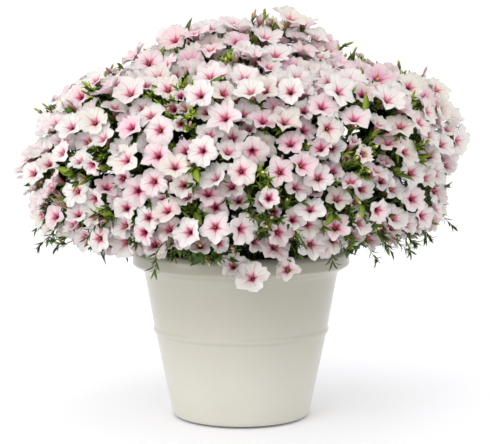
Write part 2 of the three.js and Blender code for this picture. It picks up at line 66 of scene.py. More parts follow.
# Pot and soil: the lip, the height and the soil's level come from the CAD boxes
pot_low, pot_high = (Vector(corner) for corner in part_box("pot"))
LIP_RADIUS = (pot_high.x - pot_low.x) / 2
POT_HEIGHT = pot_high.z
SOIL_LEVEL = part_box("soil")[1][2]
RING_HEIGHT = 162 * MM
WALL = 8 * MM
POT_SIDES = 144
SOIL_RADIUS = 158 * MM
SOIL_DEPTH = 40 * MM
SOIL_CROWN = 8 * MM
SOIL_RINGS = 22
SOIL_SIDES = 96
CRUMB_SIZE = 4 * MM

# Heights between which the glaze greys with painted shade under the mound, the lip's painted shade begins,
# and the foot's painted contact shadow ends
UPPER_SHADE_BAND = (0.06, 0.26)
LIP_SHADE_BAND = (0.280, 0.286)
CONTACT_SHADOW_BAND = (0.0034, 0.0048)

# CAD sprays: what tells the organs apart on their meshes, and the most organs of a kind on one spray
STEM_FOOT = 262 * MM
THROAT_DEPTH = 6 * MM
LIMB_REACH = (6 * MM, 36 * MM)
TIP_LENGTH = (8 * MM, 30 * MM)
LEAF_FROM = 17 * MM
ORGANS = 24

# One bloom: its profile as (radius, height) in millimetres from the throat out over the face to the margin,
# and back under it down the tube. The outline runs from notch to notch over one lobe, as shares of the
# bloom's reach
LOBES = 5
LOBE_OUTLINE = (0.82, 0.97, 1.0, 1.09, 1.0, 0.97)
SEGMENTS = LOBES * len(LOBE_OUTLINE)
FACE_PROFILE = ((0.0, -16.5), (2.6, -13.5), (5.0, -8.4), (9.8, -3.9), (16.4, -1.2), (23.0, 0.0))
BACK_PROFILE = ((15.5, -2.8), (7.0, -7.8), (3.5, -17.0), (2.3, -29.0), (0.0, -35.0))
LIMB_RADIUS = 23.0
NECK_DEPTH = 17.0
TUBE_LENGTH = 18 * MM
STIGMA_RISE = (4.0, 10.5)
STIGMA_WIDTH = 3.4 * MM
YOUNG_REACH = 17 * MM

# How the blooms stand. Growth is a share of the CAD bloom's size, in the middle of the mound and at its
# sides. The most that a bloom leans is for the mound's lower edge and for its upper half
LOW_GROWTH = (1.02, 0.85)
HIGH_GROWTH = (1.03, 0.99)
SIDE_REACH = 0.2
MOST_LEAN = (0.66, 0.82)
UPWARD_TURN = 0.28

# What varies from bloom to bloom, as ranges, whole spreads or shares of all blooms. The ranges of the outward
# shift, the fold and the bend are in millimetres
SIZE_RANGE = (0.95, 1.06)
OUTWARD_RANGE = (-3, 7)
STAR_RANGE = (-0.03, 0.07)
FOLD_RANGE = (-2.6, 0.8)
BEND_RANGE = (0.0, 2.4)
CUP_RANGE = (-0.14, 0.20)
JAG_SPREAD = 0.13
LOBE_SPREAD = 0.14
FRILL_SPREAD = 7.6 * MM
WILTED_SHARE = 0.012
LIGHT_STIGMA_SHARE = 0.4
SIDE_BUD_SHARE = 0.35
ROLLED_BUD_SHARE = 0.35
SPRIG_SHARE = 0.6

# Levels of the mound
EDGE_LEVEL = 0.40
LOW_BAND = 0.14
TRAILING_LEVEL = 0.32
SPRIG_LEVEL = 0.39
LOW_LEVEL = 0.46
CROWN_LEVEL = 0.748

# Greens
SEPAL_LENGTH = 15 * MM
SEPAL_WIDTH = 3.2 * MM
LEAF_LENGTH = 36 * MM
BUD_LENGTH = 15 * MM
BLADE_THICKNESS = 0.8 * MM
STEM_RADII = (3.6 * MM, 2.6 * MM)
SHOOT_RADIUS = 1.5 * MM
STALK_RADIUS = 0.9 * MM
NEEDLE = (0.17, 0.25)
SPRIG_NODES = 4
CORE_LEAVES = 100
INNER_LEAVES = 130
SHOOT_SPACING = 17 * MM
FURTHEST_GAP = 0.09

# How blades keep clear of limbs, and which limbs cover a place
BLADE_SEARCH = 75 * MM
BEHIND_LIMB = 0.7 * NECK_DEPTH * MM
COVER_SEARCH = 60 * MM
COVER_RISE = (-30 * MM, 50 * MM)

# Tints of the greens go from -1, darkest painted shade, to 1, fresh. Past them, the same number says what
# kind of bud it is
BUD, ROLLED_BUD = 2.0, 3.0

# Studio
FLOOR_RADIUS = 9
WORLD_STRENGTH = 1.12


def draw(kind, i):
    """A repeatable draw from 0 to 1 for the i-th thing of a kind."""
    wave = math.sin(kind * 12.9898 + i * 78.233) * 43758.5453
    return wave - math.floor(wave)


def between(low, high, share):
    return low + (high - low) * share


# Materials


class Socket:
    """A node's output that takes part in sums, so that shader maths reads as an expression."""

    tree = None

    def __init__(self, link):
        self.link = link

    @classmethod
    def node(cls, kind, settings=(), output=0, **values):
        """Adds a node: its settings first, then the values or links of its inputs by name or place."""
        made = cls.tree.nodes.new(kind)
        for name, value in dict(settings).items():
            setattr(made, name, value)
        for name, value in values.items():
            inlet = made.inputs[int(name[1:])] if name[1:].isdigit() else made.inputs[name.replace("_", " ")]
            if isinstance(value, Socket):
                cls.tree.links.new(value.link, inlet)
            else:
                inlet.default_value = value
        return cls(made.outputs[output])

    def maths(self, operation, other=None, swap=False):
        terms = [self] if other is None else [other, self] if swap else [self, other]
        values = {f"i{place}": term for place, term in enumerate(terms)}
        return Socket.node("ShaderNodeMath", {"operation": operation}, **values)

    def __add__(self, other):
        return self.maths("ADD", other)

    def __mul__(self, other):
        return self.maths("MULTIPLY", other)

    def __sub__(self, other):
        return self.maths("SUBTRACT", other)

    def __rsub__(self, other):
        return self.maths("SUBTRACT", other, swap=True)

    __radd__ = __add__
    __rmul__ = __mul__

    def clamped(self):
        return Socket.node("ShaderNodeClamp", i0=self)

    def rise(self, low, high):
        """0 below low, 1 above high and a smooth rise between them."""
        return Socket.node(
            "ShaderNodeMapRange",
            {"interpolation_type": "SMOOTHSTEP", "clamp": True},
            Value=self,
            From_Min=low,
            From_Max=high,
        )


def colour(text):
    """A linear colour from its red, green and blue in sRGB, two hex digits each."""
    shares = [int(text[k : k + 2], 16) / 255 for k in (0, 2, 4)]
    return tuple(s / 12.92 if s <= 0.04045 else ((s + 0.055) / 1.055) ** 2.4 for s in shares) + (1.0,)


def blend(mask, low, high):
    """The colour low where the mask is 0 and high where it is 1."""
    return Socket.node(
        "ShaderNodeMix", {"data_type": "RGBA", "clamp_factor": True}, output=2, i0=mask, i6=low, i7=high
    )


def attribute(name):
    return Socket.node("ShaderNodeAttribute", {"attribute_name": name}, output="Vector")


def parts_of(vector):
    split = Socket.tree.nodes.new("ShaderNodeSeparateXYZ")
    Socket.tree.links.new(vector.link, split.inputs[0])
    return [Socket(outlet) for outlet in split.outputs]


def object_place():
    return Socket.node("ShaderNodeTexCoord", output="Object")


def noise(place, scale, detail=2.0, roughness=0.5):
    return Socket.node("ShaderNodeTexNoise", Vector=place, Scale=scale, Detail=detail, Roughness=roughness)


def bump(height, strength, distance):
    return Socket.node("ShaderNodeBump", Height=height, Strength=strength, Distance=distance)


def material(name, paint):
    """A Principled material: paint() gives its varying sockets and its constants."""
    made = bpy.data.materials.new(name)
    made.use_nodes = True
    Socket.tree = made.node_tree
    shader = made.node_tree.nodes["Principled BSDF"]
    for socket, value in paint().items():
        inlet = shader.inputs[socket]
        if isinstance(value, Socket):
            made.node_tree.links.new(value.link, inlet)
        else:
            inlet.default_value = value
    return made


def paint_petals():
    across, up, back = parts_of(attribute("limb"))
    pinkness, cream, wilt = parts_of(attribute("cast"))
    reach = (across * across + up * up).maths("SQRT")
    place = Socket.node("ShaderNodeCombineXYZ", X=across, Y=up, Z=pinkness * 40)
    wobble = noise(place, 2.2) - 0.5
    angle = up.maths("ARCTAN2", across) + wobble * 0.3
    star = (angle * LOBES).maths("COSINE")
    main_line = (angle * (LOBES / 2)).maths("SINE").maths("ABSOLUTE") * reach
    fine_line = (angle * (LOBES * 1.5)).maths("SINE").maths("ABSOLUTE") * reach
    main_vein = (1 - main_line.rise(0.01, 0.16)) * (1 - reach.rise(0.25, 0.92))
    fine_vein = (1 - fine_line.rise(0.01, 0.26)) * (1 - reach.rise(0.22, 0.85))
    veins = (main_vein * 0.62).maths("MAXIMUM", fine_vein * 0.48)
    flush = 1 - (reach - star * 0.07 + wobble * 0.15).rise(0.12, 0.50)
    throat = 1 - (reach - star * 0.05).rise(0.16, 0.43)
    blush = (pinkness * (1 - reach * 0.35)).clamped()
    limb = blend(blush, colour("dbd9d4"), colour("dfb7c4"))
    limb = blend(cream * 0.7, limb, colour("d0caba"))
    rosy = blend(flush * (0.30 + pinkness * 0.5), limb, colour("df7fa2"))
    veined = blend(veins, rosy, colour("c6447a"))
    face = blend(throat * (0.75 + pinkness * 0.25), veined, colour("bf3566"))
    # The deepest part of the throat is painted dark maroon: painted shade at the bottom of the tube
    face = blend(1 - reach.rise(0.10, 0.20), face, colour("4a1b1f"))
    tube = blend(reach.rise(0.12, 0.50), colour("a5625f"), colour("e2cdd1"))
    tube = blend(fine_vein * 0.5, tube, colour("96505a"))
    skin = blend(back, face, tube)
    crumple = noise(object_place(), 320.0)
    withered = blend(crumple.rise(0.35, 0.65), colour("7c5c42"), colour("bb9c7c"))
    return {
        "Base Color": blend(wilt, skin, withered),
        "Roughness": 0.62 - throat * 0.12,
        "Subsurface Weight": 0.5,
        "Subsurface Radius": (1.0, 0.8, 0.8),
        "Subsurface Scale": 0.003,
        "Normal": bump(veins * 0.3 + noise(place, 4.5) * 1.3 + star * reach * 0.5, 0.5, 0.0018),
        "Specular IOR Level": 0.25,
    }


def paint_greens():
    along, aside, fresh_and_shade = parts_of(attribute("blade"))
    place = object_place()
    patches = noise(place, 38.0)
    mottle = noise(place, 240.0)
    rib = 1 - aside.maths("ABSOLUTE").rise(0.03, 0.16)
    leaf = blend(patches.rise(0.35, 0.68), colour("182c05"), colour("41610d"))
    leaf = blend(mottle.rise(0.45, 0.75) * 0.5, leaf, colour("2a4a0a"))
    leaf = blend(rib * 0.3, leaf, colour("6f8f26"))
    leaf = blend(fresh_and_shade, leaf, colour("b2cc3c"))
    # Negative tints darken the leaves to near-black green: painted shade inside and under the mound
    leaf = blend(fresh_and_shade * -0.75, leaf, colour("0a1403"))
    pleats = (along * 27).maths("SINE").rise(-0.2, 0.8)
    bud = blend(pleats, colour("8e9a48"), colour("6b4a3c"))
    bud = blend(aside.rise(0.72, 0.95), bud, colour("d3d873"))
    rolled = blend(pleats, colour("d9a3aa"), colour("a85c68"))
    green = blend(fresh_and_shade.rise(BUD - 0.6, BUD - 0.4), leaf, bud)
    return {
        "Base Color": blend(fresh_and_shade.rise(ROLLED_BUD - 0.6, ROLLED_BUD - 0.4), green, rolled),
        "Roughness": 0.5 + mottle * 0.15,
        "Normal": bump(mottle + rib * 0.6, 0.3, 0.0008),
        "Specular IOR Level": 0.35,
    }


def paint_pot():
    place = object_place()
    speck = noise(place, 420.0, 3.0)
    flow = noise(place, 7.0, 1.0)
    glaze_and_shade = blend(flow.rise(0.3, 0.7), colour("c7c4b8"), colour("cac7bc"))
    glaze_and_shade = blend(speck.rise(0.68, 0.80) * 0.25, glaze_and_shade, colour("c2bbaa"))
    height = parts_of(place)[2]
    # The glaze greys upwards: painted shade that the mound casts on the upper pot
    glaze_and_shade = blend((height + flow * 0.04).rise(*UPPER_SHADE_BAND), glaze_and_shade, colour("aeab9e"))
    # The lip is darkened: painted shade under the mound's overhanging edge
    glaze_and_shade = blend(height.rise(*LIP_SHADE_BAND) * 0.5, glaze_and_shade, colour("8c8874"))
    # The foot is painted near-black: a painted contact shadow where the pot meets the floor
    glaze_and_shade = blend(1 - height.rise(*CONTACT_SHADOW_BAND), glaze_and_shade, colour("3a352e"))
    return {
        "Base Color": glaze_and_shade,
        "Roughness": 0.28 + speck * 0.05,
        "Normal": bump(flow, 0.08, 0.004),
        "Coat Weight": 0.35,
        "Coat Roughness": 0.05,
        "Specular IOR Level": 0.25,
    }


def paint_soil():
    place = object_place()
    crumbs = noise(place, 160.0, 4.0, 0.7)
    bark = noise(place, 60.0, 2.0)
    earth = blend(crumbs.rise(0.35, 0.65), colour("1d1510"), colour("4a3626"))
    return {
        "Base Color": blend(bark.rise(0.62, 0.70), earth, colour("6b4c33")),
        "Roughness": 0.92,
        "Normal": bump(crumbs, 0.8, 0.004),
    }


def paint_floor():
    grain = noise(object_place(), 3.0)
    return {
        "Base Color": blend(grain, colour("f5f5f8"), colour("f3f3f6")),
        "Roughness": 0.95,
        "Emission Color": (1, 1, 1, 1),
        "Emission Strength": 0.08,
    }


petal_finish = material("petals", paint_petals)
green_finish = material("foliage", paint_greens)
glaze_finish = material("glaze_and_shade", paint_pot)
soil_finish = material("potting_soil", paint_soil)
floor_finish = material("studio_floor", paint_floor)


# Reading the CAD sprays


def welded(node):
    """A CAD node's points and triangles, with the points at one place made one."""
    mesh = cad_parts[node].data
    points = np.empty(3 * len(mesh.vertices))
    mesh.vertices.foreach_get("co", points)
    points = points.reshape(-1, 3)
    corners = np.empty(len(mesh.loops), np.int32)
    mesh.loops.foreach_get("vertex_index", corners)
    keys = np.round(points / (0.005 * MM)).astype(np.int64)
    _, first, index = np.unique(keys, axis=0, return_index=True, return_inverse=True)
    return [Vector(point) for point in points[first]], index.reshape(-1)[corners].reshape(-1, 3)


class SprayShape:
    """What a CAD spray's mesh says of its blooms, leaves, buds and stem."""

    def __init__(self, node):
        self.points, triangles = welded(node)
        self.after = [{} for _ in self.points]
        for triangle in triangles:
            for k in range(3):
                a, b, c = (int(triangle[(k + step) % 3]) for step in range(3))
                self.after[a][b] = c
        self.blooms, self.leaves, self.buds = [], [], []
        for tip, fan in enumerate(self.after):
            ring = self.ring(fan)
            if len(ring) == LOBES:
                self.find_bloom(tip, ring)
            elif len(ring) == 3:
                self.find_point(tip, ring)
        self.find_stem()

    @staticmethod
    def ring(fan):
        """The neighbours of a point in order, turning the same way seen from outside."""
        start = min(fan, default=None)
        ring = []
        while start is not None and len(ring) < len(fan):
            ring.append(start)
            start = fan.get(start)
        return ring if len(ring) == len(fan) else []

    def middle(self, indices):
        return sum((self.points[k] for k in indices), Vector()) / len(indices)

    def below(self, ring, passed):
        """The next points down from a ring, away from those passed."""
        return sorted({k for point in ring for k in self.after[point]} - set(ring) - set(passed))

    def find_bloom(self, throat, ring):
        centre = self.middle(ring)
        spokes = [self.points[k] - centre for k in ring]
        out = sum((a.cross(b) for a, b in zip(spokes, spokes[1:] + spokes[:1])), Vector()).normalized()
        depth = (centre - self.points[throat]).dot(out)
        reach = [spoke.length for spoke in spokes]
        if depth < THROAT_DEPTH or min(reach) < LIMB_REACH[0] or max(reach) > LIMB_REACH[1]:
            return
        neck = self.below(ring, [throat])
        root = self.below(neck, ring)
        if len(neck) != 3 or len(root) != 3:
            return
        self.blooms.append({"centre": centre, "out": out, "spokes": spokes, "neck": neck, "root": root})

    def find_point(self, tip, ring):
        centre = self.middle(ring)
        length = (self.points[tip] - centre).length
        lower = self.below(ring, [tip])
        if not TIP_LENGTH[0] <= length <= TIP_LENGTH[1] or len(lower) != 3:
            return
        if length > LEAF_FROM:
            root = self.below(lower, ring)
            if len(root) == 3:
                self.leaves.append({"tip": tip, "blade": ring, "foot": lower, "root": root})
        else:
            self.buds.append({"tip": tip, "belly": ring, "root": lower})

    def find_stem(self):
        """The middles of the stem's rings, from its foot in the soil up to its fork."""
        ring = [k for k, point in enumerate(self.points) if abs(point.z - STEM_FOOT) < 0.02 * MM]
        upper = self.below(ring, [])
        self.stem = [self.middle(ring)]
        while len(upper) == 3:
            passed, ring = ring, upper
            self.stem.append(self.middle(ring))
            upper = self.below(ring, passed)


# Shapes that are set out many times


def spun(profile, sides, merge=1e-5):
    """A closed shell spun about Z from a profile that starts and ends on the axis."""
    bm = bmesh.new()
    chain = [bm.verts.new((radius, 0, height)) for radius, height in profile]
    edges = [bm.edges.new(pair) for pair in zip(chain, chain[1:])]
    bmesh.ops.spin(
        bm, geom=chain + edges, cent=(0, 0, 0), axis=UP, angle=TURN, steps=sides, use_merge=True
    )
    bmesh.ops.remove_doubles(bm, verts=bm.verts, dist=merge)
    bmesh.ops.recalc_face_normals(bm, faces=bm.faces)
    return bm


def spun_bloom():
    """A bloom's thin shell, spun from its profile: the face, a crisp margin, the back and the tube."""
    bm = spun(FACE_PROFILE + BACK_PROFILE, SEGMENTS, 0.01)
    for edge in bm.edges:
        edge.smooth = any(vert.co.xy.length < LIMB_RADIUS - 0.01 for vert in edge.verts)
    return kept_template(bm, "bloom_template")


def kept_template(bm, name):
    mesh = bpy.data.meshes.new(name)
    bm.to_mesh(mesh)
    bm.free()
    return mesh


def spindle(name, sides, rings):
    """A closed spindle along Z from 0 to 1, which becomes a leaf, a sepal or a bud."""
    bm = bmesh.new()
    bmesh.ops.create_uvsphere(bm, u_segments=sides, v_segments=rings, radius=1)
    for vert in bm.verts:
        share = math.acos(max(-1, min(1, -vert.co.z))) / math.pi
        width = math.hypot(vert.co.x, vert.co.y)
        scale = 1 / width if width > 1e-6 else 0
        vert.co = Vector((vert.co.x * scale, vert.co.y * scale, share))
    return kept_template(bm, name)


def rod(name, sides, steps):
    """A closed rod of radius 1 along Z from 0 to 1, which becomes a stem or a stalk."""
    bm = bmesh.new()
    circle = bmesh.ops.create_circle(bm, cap_ends=False, segments=sides, radius=1)["verts"]
    edges = list({edge for vert in circle for edge in vert.link_edges})
    bmesh.ops.spin(
        bm, geom=circle + edges, cent=(0, 0, 0), axis=UP, dvec=UP / steps, angle=0, steps=steps
    )
    bmesh.ops.holes_fill(bm, edges=[edge for edge in bm.edges if edge.is_boundary])
    bmesh.ops.recalc_face_normals(bm, faces=bm.faces)
    return kept_template(bm, name)


bloom_template = spun_bloom()
leaf_template = spindle("leaf_template", 4, 5)
sepal_template = spindle("sepal_template", 3, 4)
bud_template = spindle("bud_template", 6, 7)
stem_template = rod("stem_template", 6, 8)
shoot_template = rod("shoot_template", 4, 5)


class Piece:
    """A mesh that templates are added to, each bent into place point by point."""

    def __init__(self, name, layers):
        self.name = name
        self.bm = bmesh.new()
        self.layers = [self.bm.verts.layers.float_vector.new(layer) for layer in layers]

    def add(self, template, shape):
        """Adds a template; shape(point) gives a point's place and its value in each layer."""
        start = len(self.bm.verts)
        self.bm.from_mesh(template)
        self.bm.verts.ensure_lookup_table()
        for k in range(start, len(self.bm.verts)):
            vert = self.bm.verts[k]
            place, *values = shape(vert.co)
            vert.co = place
            for layer, value in zip(self.layers, values):
                vert[layer] = value

    def finish(self, finish, slot, node):
        bmesh.ops.recalc_face_normals(self.bm, faces=self.bm.faces)
        return finished(self.bm, self.name, finish, slot, node)


def finished(bm, name, finish, slot, *nodes):
    """Makes a bmesh a smooth piece that rides on the pot's body and stands for CAD nodes."""
    mesh = bpy.data.meshes.new(name)
    bm.to_mesh(mesh)
    bm.free()
    mesh.polygons.foreach_set("use_smooth", [True] * len(mesh.polygons))
    mesh.materials.append(finish)
    piece = bpy.data.objects.new(name, mesh)
    bpy.context.scene.collection.objects.link(piece)
    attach(piece, "root")
    if nodes:
        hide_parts(*nodes)
    return piece


def bezier(points, share):
    """A point on the Bezier curve of its control points."""
    while len(points) > 1:
        points = [a.lerp(b, share) for a, b in zip(points, points[1:])]
    return points[0]


def square_to(direction, hint):
    """Two unit vectors square to a direction, the first as near to the hint as it can be."""
    side = hint - direction * hint.dot(direction)
    if side.length < 1e-6:
        side = direction.orthogonal()
    side.normalize()
    return side, direction.cross(side)


# Growing the fine organs


def around(row, place):
    """The value at a place on a closed row of values, with straight steps between them."""
    low = math.floor(place)
    return between(row[low % len(row)], row[(low + 1) % len(row)], place - low)


def raised(point):
    """How far up the mound a place is, from 0 at its lower edge to 1 half way up."""
    return min(1, max(0, (point.z - EDGE_LEVEL) / LOW_BAND))


def ray(first, second, angle):
    """The way at an angle between two directions that are square to each other."""
    return first * math.cos(angle) + second * math.sin(angle)


def pose_bloom(shape, bloom, number):
    """How a bloom stands: its neck, the way from there to its root, and the way its limb faces."""
    out = bloom["out"]
    side, high = square_to(out, bloom["spokes"][0])
    heading, tilted = draw(46, number) * TURN, draw(47, number)
    lean = between(*MOST_LEAN, raised(bloom["centre"])) * (0.55 * tilted + 0.45 * tilted**6)
    bloom["centre"] += out * (between(*OUTWARD_RANGE, draw(99, number)) * MM)
    bloom["neck"] = bloom["centre"] - out * (NECK_DEPTH * MM)
    bloom["toward"] = (shape.middle(bloom["root"]) - bloom["neck"]).normalized()
    turned = ray(side, high, heading) * lean + UP * UPWARD_TURN
    bloom["facing"] = (out + turned).normalized()
    aside = min(1, abs(bloom["centre"].x) / SIDE_REACH)
    growth = between(between(*LOW_GROWTH, aside), between(*HIGH_GROWTH, aside), raised(bloom["centre"]))
    growth *= between(*SIZE_RANGE, draw(59, number))
    bloom["spokes"] = [spoke * growth for spoke in bloom["spokes"]]
    bloom["reach"] = max(spoke.length for spoke in bloom["spokes"])


def grow_bloom(petals, bloom, number):
    """The fine bloom on a CAD bloom: its limb follows the five lobes, its tube the neck and the root."""
    out, spokes, neck, toward, facing = (bloom[key] for key in ("out", "spokes", "neck", "toward", "facing"))
    across, up = square_to(facing, spokes[0])
    reaches = [spoke.length for spoke in spokes]
    lifts = [spoke.dot(out) for spoke in spokes]
    jags = [JAG_SPREAD * (draw(100 + k, number) - 0.5) for k in range(SEGMENTS)]
    uneven = [LOBE_SPREAD * (draw(180 + k, number) - 0.5) for k in range(LOBES)]
    starry = between(*STAR_RANGE, draw(190, number))
    frill = [FRILL_SPREAD * (draw(140 + k, number) - 0.5) for k in range(SEGMENTS)]
    wilted = draw(41, number) < WILTED_SHARE
    pinkness = draw(42, number) ** 1.8 * between(0.65, 1.25, (bloom["centre"].z - 0.35) / 0.35)
    cream = max(0.0, draw(43, number) * 1.8 - 0.9)
    fold = between(*FOLD_RANGE, draw(44, number)) * MM
    bend = between(*BEND_RANGE, draw(45, number)) * MM
    grain = draw(48, number) * math.pi
    cup = between(*CUP_RANGE, draw(49, number))

    def place(point):
        radius, angle = math.hypot(point.x, point.y), math.atan2(point.y, point.x)
        lobe = angle / TURN * LOBES
        segment = lobe * len(LOBE_OUTLINE)
        share = min(1, radius / LIMB_RADIUS)
        spread = share * share
        outline = around(LOBE_OUTLINE, segment + len(LOBE_OUTLINE) / 2) + around(jags, segment)
        outline += around(uneven, lobe) + starry * math.cos(LOBES * angle)
        growth = around(reaches, lobe) * outline / (LIMB_RADIUS * MM)
        wide = radius * MM * between(1, growth, min(1, max(0, (share - 0.25) / 0.4)))
        waves = around(lifts, lobe) + fold * math.cos(LOBES * angle) + bend * math.cos(2 * angle - grain)
        height = point.z * MM + spread * (waves + cup * reaches[0] + spread * around(frill, segment))
        if wilted:
            wide *= 1 - 0.45 * share
            height += spread * reaches[0] * (0.35 + 0.25 * math.sin(7 * angle + grain))
        down = -NECK_DEPTH - point.z
        seat = neck + (toward * (down * MM) if down > 0 else facing * (height + NECK_DEPTH * MM))
        back = float(point.z < np.interp(radius, *zip(*FACE_PROFILE)) - 0.1)
        limb = (point.x / LIMB_RADIUS, point.y / LIMB_RADIUS, back)
        return seat + ray(across, up, angle) * wide, limb, (pinkness, cream, float(wilted))

    petals.add(bloom_template, place)


def clear_tip(foot, tip):
    """A blade's tip, drawn back so that the blade ends behind any limb in its way."""
    share = 1.0
    for _, place, _ in bloom_tree.find_range(foot, BLADE_SEARCH):
        bloom = all_blooms[place]
        back = bloom["neck"] + bloom["facing"] * BEHIND_LIMB
        low, high = (foot - back).dot(bloom["facing"]), (tip - back).dot(bloom["facing"])
        if low >= 0 or high <= 0:
            continue
        crossing = low / (low - high)
        if (foot.lerp(tip, crossing) - back).length < bloom["reach"]:
            share = min(share, crossing)
    return foot.lerp(tip, share)


def grow_blade(greens, template, foot, tip, face, width, thickness, fresh_and_shade, arch=0.12, widest=0.45):
    """A leaf or sepal from foot to tip, its upper side turned to a face direction and arched towards it."""
    along = tip - foot
    length = along.length
    along.normalize()
    top, side = square_to(along, face)

    def place(point):
        share = point.z
        swell = math.sin(math.pi * share ** (math.log(0.5) / math.log(widest))) if 0 < share < 1 else 0
        half = width / 2 * swell
        bow = arch * length * math.sin(math.pi * share)
        crease = -0.10 * half * (1 if abs(point.x) < 0.5 else -1)
        depth = thickness / 2 * (point.y if abs(point.x) < 0.5 else 0)
        spot = foot + along * (length * share) + side * (point.x * half) + top * (bow + depth + crease)
        return spot, (share, point.x, fresh_and_shade)

    greens.add(template, place)


def grow_rod(greens, template, controls, thick, thin, fresh_and_shade=0.15):
    """A stem, shoot or stalk along a curve, tapering from thick to thin."""

    def place(point):
        share = point.z
        middle = bezier(controls, share)
        ahead = (bezier(controls, min(1, share + 0.02)) - bezier(controls, max(0, share - 0.02))).normalized()
        first, second = square_to(ahead, Vector((0.3, 0.9, 0.2)))
        radius = between(thick, thin, share)
        return middle + (first * point.x + second * point.y) * radius, (share, 1.0, fresh_and_shade)

    greens.add(template, place)


def grow_calyx(greens, base, toward, number):
    """Five narrow sepals that stand round the foot of the tube."""
    back = -toward
    first, second = square_to(back, UP)
    for k in range(LOBES):
        aside = ray(first, second, TURN * (k + draw(50, number)) / LOBES)
        flare = between(0.35, 0.95, draw(51 + k, number))
        length = SEPAL_LENGTH * between(0.8, 1.2, draw(56 + k, number))
        foot, tip = base + aside * MM, base + (back + aside * flare).normalized() * length
        shaped = {"thickness": 0.7 * MM, "fresh_and_shade": 0.25, "arch": 0.08, "widest": 0.4}
        grow_blade(greens, sepal_template, foot, tip, -aside, SEPAL_WIDTH, **shaped)


def grow_spindle(greens, foot, tip, number):
    """A slim closed bud, pleated round and round."""
    first, second = square_to((tip - foot).normalized(), UP)
    radius = between(1.7, 2.4, draw(60, number)) * MM
    kind = ROLLED_BUD if draw(61, number) < ROLLED_BUD_SHARE else BUD

    def place(point):
        share = point.z
        swell = 0.55 * share + math.sin(math.pi * share**1.5) * (1 - 0.3 * share) if share < 1 else 0
        wide = radius * swell * math.hypot(point.x, point.y)
        angle = math.atan2(point.y, point.x)
        aside = ray(first, second, angle + 1.5 * share)
        return foot.lerp(tip, share) + aside * wide, (angle / 3, share, kind)

    greens.add(bud_template, place)


def grow_bud(greens, shape, bud, number):
    """A bud on its stalk, with its sepals and three small leaves."""
    tip, root, belly = shape.points[bud["tip"]], shape.middle(bud["root"]), shape.middle(bud["belly"])
    out = (tip - belly).normalized()
    foot = belly - out * BUD_LENGTH
    grow_spindle(greens, foot, tip, number)
    grow_rod(greens, shoot_template, [root, root.lerp(foot, 0.6), foot], STALK_RADIUS, STALK_RADIUS)
    grow_calyx(greens, foot, -out, number + 7000)
    ruff = {"count": 3, "length": 22 * MM, "lean": (0.5, 1.3), "fresh_and_shade": (0.3, 0.9)}
    grow_tuft(greens, foot - out * (8 * MM), out, number + 5000, **ruff)


def grow_leaf(greens, shape, leaf, number):
    """A broad leaf on the CAD leaf's own points, in a tuft of narrow ones."""
    foot, tip = shape.middle(leaf["foot"]), shape.points[leaf["tip"]]
    blade = [shape.points[k] for k in leaf["blade"]]
    keel = min(blade, key=lambda p: sum((p - q).length for q in blade))
    left, right = (p for p in blade if p is not keel)
    face = (left + right) / 2 - keel
    tint, width = 0.5 * draw(64, number), 0.8 * (left - right).length
    grow_blade(greens, leaf_template, foot, tip, face, width, MM, tint, arch=0.1, widest=0.42)
    root = shape.middle(leaf["root"])
    grow_rod(greens, shoot_template, [root, foot], STALK_RADIUS, STALK_RADIUS)
    outward = (foot - root).normalized()
    ruff = {"count": 8, "length": 25 * MM, "lean": (0.2, 1.5), "fresh_and_shade": (0.1, 0.9)}
    grow_tuft(greens, foot - outward * (4 * MM), outward, number + 4000, **ruff)


def grow_tuft(greens, foot, outward, number, count, length, lean, fresh_and_shade, narrow=(0.20, 0.34)):
    """Narrow leaves that stand round a shoot's tip."""
    first, second = square_to(outward, Vector((0.2, 0.1, 1)))
    for k in range(count):
        seed = number * 8 + k
        aside = ray(first, second, GOLDEN_ANGLE * k + ANY_ANGLE * draw(70, number))
        heading = (outward + aside * between(*lean, draw(72, seed))).normalized()
        long = length * between(0.65, 1.1, draw(73, seed))
        wide = long * between(*narrow, draw(74, seed))
        # Low on the mound the tint is held back from fresh green: painted shade under the mound
        tint = between(*fresh_and_shade, draw(75, seed)) * between(0.45, 1.0, raised(foot))
        tip = clear_tip(foot, foot + heading * long)
        if (tip - foot).length > 0.45 * long and tip.z < CROWN_LEVEL:
            grow_blade(greens, sepal_template, foot, tip, outward, wide, MM, tint, arch=0.1)


def grow_shoot(greens, shape, start, end, toward, number):
    """A side shoot from the fork to a calyx, with leaves along its upper half."""
    fork = shape.stem[-1]
    rise = (fork - shape.stem[-2]).normalized() * (30 * MM)
    controls = [fork, fork + rise, start, end]
    grow_rod(greens, shoot_template, controls, SHOOT_RADIUS, STALK_RADIUS)
    low = {"count": 3, "length": 32 * MM, "lean": (0.3, 1.3), "fresh_and_shade": (0.0, 0.2), "narrow": (0.25, 0.38)}
    high = {"count": 4, "length": 26 * MM, "lean": (0.3, 1.3), "fresh_and_shade": (0.0, 0.4)}
    last = {"count": 4, "length": 27 * MM, "lean": (0.4, 1.2), "fresh_and_shade": (0.1, 0.8)}
    grow_tuft(greens, bezier(controls, 0.76), -toward, number + 900, **low)
    grow_tuft(greens, bezier(controls, 0.93), -toward, number + 1900, **high)
    grow_tuft(greens, end, -toward, number + 2900, **last)


